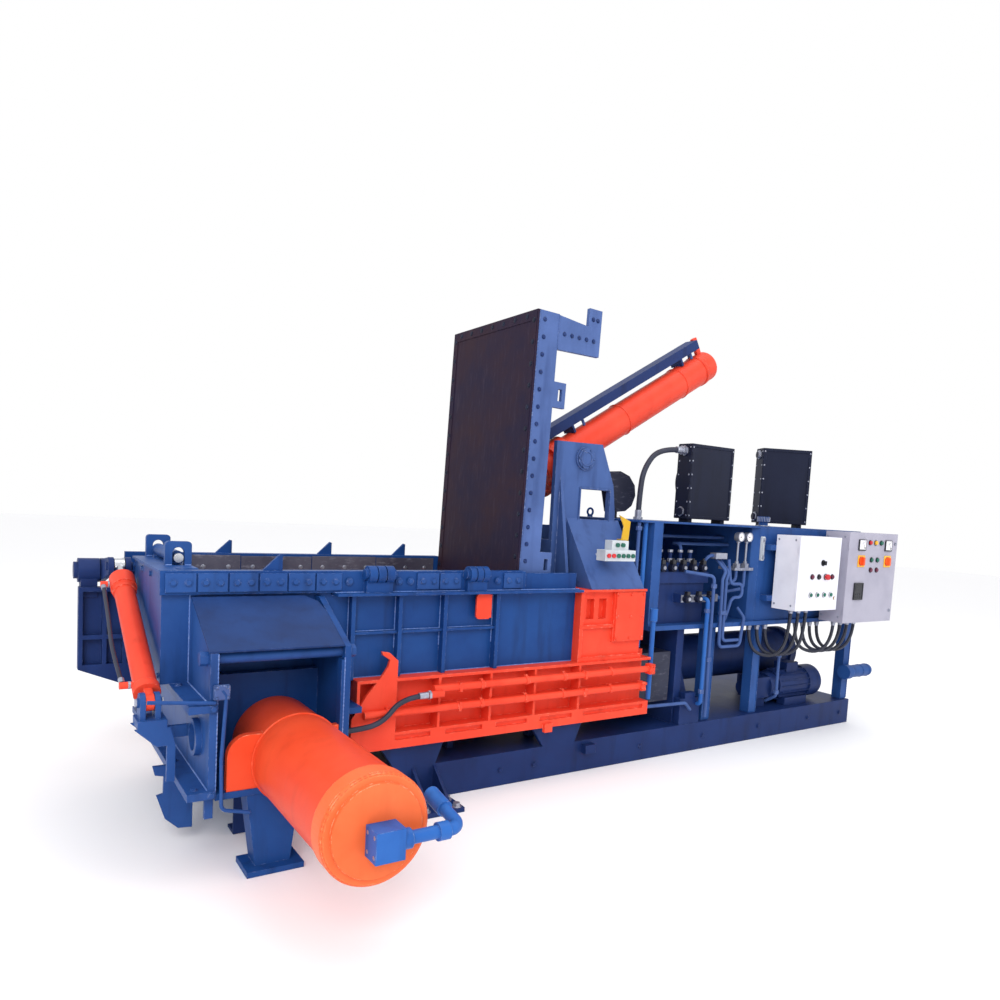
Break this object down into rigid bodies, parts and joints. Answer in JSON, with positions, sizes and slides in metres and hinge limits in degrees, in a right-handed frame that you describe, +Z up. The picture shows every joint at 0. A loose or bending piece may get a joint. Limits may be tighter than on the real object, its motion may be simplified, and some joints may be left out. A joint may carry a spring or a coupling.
{
  "type": "recycling baler",
  "caption": "Hydraulic scrap baling press with an open hinged lid, side and main rams, bale door, oil coolers and control cabinets",
  "frame": {"origin": "on the floor, under the middle of the base frame", "axes": "+X from the bale chamber towards the power unit, +Y from the operator's side to the discharge side, +Z up"},
  "size_m": [5.722, 3.236, 2.9399],
  "materials": {
    "blue_paint": "satin",
    "dark_blue_paint": "satin",
    "orange_paint": "gloss",
    "lid_steel": "worn",
    "worn_steel": "worn",
    "rod_chrome": "polished",
    "cooler_coat": "satin",
    "panel_grey": "satin",
    "hose_rubber": "matte",
    "conduit_grey": "matte",
    "instrument_black": "gloss",
    "gauge_metal": "satin",
    "green_plastic": "gloss",
    "red_plastic": "gloss",
    "yellow_plastic": "gloss",
    "black_plastic": "gloss",
    "pendant_grey": "satin"
  },
  "bodies": {
    "frame": {"base_frame": "dark_blue_paint", "lower_channel": "orange_paint", "channel_pipes": "orange_paint", "near_wall": "blue_paint", "orange_stop": "orange_paint", "far_wall": "blue_paint", "rim_blades": "worn_steel", "end_wall": "blue_paint", "side_housing": "blue_paint", "hood_plate": "dark_blue_paint", "tie_bar": "blue_paint", "end_frame": "orange_paint", "end_frame_cover": "orange_paint", "tower": "blue_paint", "lid_hinge_pin": "worn_steel", "main_cylinder": "dark_blue_paint", "side_cylinder": "orange_paint", "side_port_block": "dark_blue_paint", "door_hinge_frame": "blue_paint", "power_frame": "blue_paint", "oil_tank": "dark_blue_paint", "cooler_left": "cooler_coat", "cooler_right": "cooler_coat", "level_gauge": "gauge_metal", "pressure_gauges": "gauge_metal", "valve_stack": "dark_blue_paint", "pump_set": "dark_blue_paint", "service_pipes": "dark_blue_paint", "cabinet_small": "panel_grey", "cabinet_large": "panel_grey", "pendant_station": "pendant_grey", "channel_hose": "hose_rubber", "cooler_hose": "hose_rubber", "small_conduits": "conduit_grey", "large_conduits": "conduit_grey"},
    "lid": {"lid_frame": "blue_paint", "lid_face_plate": "lid_steel"},
    "lid_barrel": {"lid_cylinder_barrel": "orange_paint", "lid_pipe_guard": "dark_blue_paint"},
    "lid_rod": {"lid_cylinder_rod": "rod_chrome"},
    "main_pusher": {"main_ram": "worn_steel"},
    "side_pusher": {"side_ram": "worn_steel"},
    "bolt_near": {"lock_bolt_near": "rod_chrome"},
    "bolt_far": {"lock_bolt_far": "rod_chrome"},
    "door": {"door_shaft": "blue_paint", "bale_door": "blue_paint"},
    "door_barrel": {"door_cylinder_barrel": "orange_paint", "door_hose": "hose_rubber"},
    "door_rod": {"door_cylinder_rod": "rod_chrome"},
    "small_panel": {"cabinet_small_door": "panel_grey"},
    "large_panel": {"cabinet_large_door": "panel_grey", "door_instruments": "instrument_black"},
    "selector_body": {"selector": "black_plastic"},
    "stop_button_body": {"stop_button": "red_plastic"},
    "start_button_one_body": {"start_button_one": "green_plastic"},
    "start_button_two_body": {"start_button_two": "green_plastic"},
    "start_button_three_body": {"start_button_three": "green_plastic"},
    "start_button_four_body": {"start_button_four": "green_plastic"},
    "isolator_yellow_body": {"isolator_yellow": "yellow_plastic"},
    "isolator_red_body": {"isolator_red": "red_plastic"}
  },
  "joints": [
    {"name": "lid_hinge", "type": "hinge", "parent": "frame", "child": "lid", "pos_m": [-0.614, 0, 0.892], "axis": [0, -1, 0], "range_deg": [0, 91.6]},
    {"name": "lid_barrel_tilt", "type": "hinge", "parent": "frame", "child": "lid_barrel", "pos_m": [-0.124, 0, 1.94], "axis": [0, -1, 0], "range_deg": [0, 5.2]},
    {"name": "lid_rod_slide", "type": "slide", "parent": "lid_barrel", "child": "lid_rod", "axis": [-0.8572, 0, -0.515], "range_m": [0, 1.19]},
    {"name": "main_ram_slide", "type": "slide", "parent": "frame", "child": "main_pusher", "axis": [-1, 0, 0], "range_m": [0, 1.28]},
    {"name": "side_ram_slide", "type": "slide", "parent": "frame", "child": "side_pusher", "axis": [0, 1, 0], "range_m": [0, 0.92]},
    {"name": "lock_near_slide", "type": "slide", "parent": "frame", "child": "bolt_near", "axis": [0, -1, 0], "range_m": [0, 0.195]},
    {"name": "lock_far_slide", "type": "slide", "parent": "frame", "child": "bolt_far", "axis": [0, 1, 0], "range_m": [0, 0.195]},
    {"name": "bale_door_hinge", "type": "hinge", "parent": "frame", "child": "door", "pos_m": [-2.7, 0.625, 1.135], "axis": [-1, 0, 0], "range_deg": [0, 78]},
    {"name": "door_barrel_tilt", "type": "hinge", "parent": "frame", "child": "door_barrel", "pos_m": [-2.7, -0.696, 0.712], "axis": [1, 0, 0], "range_deg": [0, 4.6]},
    {"name": "door_rod_slide", "type": "slide", "parent": "door_barrel", "child": "door_rod", "axis": [0, 0.8993, 0.4374], "range_m": [0, 0.425]},
    {"name": "small_panel_hinge", "type": "hinge", "parent": "frame", "child": "small_panel", "pos_m": [1.506, -0.7585, 1.25], "axis": [0, 0, -1], "range_deg": [0, 110]},
    {"name": "large_panel_hinge", "type": "hinge", "parent": "frame", "child": "large_panel", "pos_m": [2.095, -0.7585, 1.22], "axis": [0, 0, -1], "range_deg": [0, 110]},
    {"name": "selector_turn", "type": "hinge", "parent": "small_panel", "child": "selector_body", "pos_m": [1.788, -0.7585, 1.333], "axis": [0, -1, 0], "range_deg": [-45, 45]},
    {"name": "isolator_yellow_turn", "type": "hinge", "parent": "large_panel", "child": "isolator_yellow_body", "pos_m": [2.266, -0.7585, 1.35], "axis": [0, -1, 0], "range_deg": [-90, 0]},
    {"name": "isolator_red_turn", "type": "hinge", "parent": "large_panel", "child": "isolator_red_body", "pos_m": [2.62, -0.7585, 1.35], "axis": [0, -1, 0], "range_deg": [-90, 0]},
    {"name": "stop_button_press", "type": "slide", "parent": "small_panel", "child": "stop_button_body", "axis": [0, 1, 0], "range_m": [0, 0.004], "stiffness_N_per_m": 400, "springref_m": -0.001},
    {"name": "start_button_one_press", "type": "slide", "parent": "small_panel", "child": "start_button_one_body", "axis": [0, 1, 0], "range_m": [0, 0.004], "stiffness_N_per_m": 400, "springref_m": -0.001},
    {"name": "start_button_two_press", "type": "slide", "parent": "small_panel", "child": "start_button_two_body", "axis": [0, 1, 0], "range_m": [0, 0.004], "stiffness_N_per_m": 400, "springref_m": -0.001},
    {"name": "start_button_three_press", "type": "slide", "parent": "small_panel", "child": "start_button_three_body", "axis": [0, 1, 0], "range_m": [0, 0.004], "stiffness_N_per_m": 400, "springref_m": -0.001},
    {"name": "start_button_four_press", "type": "slide", "parent": "small_panel", "child": "start_button_four_body", "axis": [0, 1, 0], "range_m": [0, 0.004], "stiffness_N_per_m": 400, "springref_m": -0.001}
  ],
  "couplings": [
    {"joint": "lid_barrel_tilt", "follows": "lid_hinge", "ratio": 0.0557},
    {"joint": "lid_rod_slide", "follows": "lid_hinge", "m_per_rad": 0.742},
    {"joint": "door_barrel_tilt", "follows": "bale_door_hinge", "ratio": 0.0573},
    {"joint": "door_rod_slide", "follows": "bale_door_hinge", "m_per_rad": 0.308},
    {"joint": "lock_far_slide", "follows": "lock_near_slide", "ratio": 1}
  ]
}
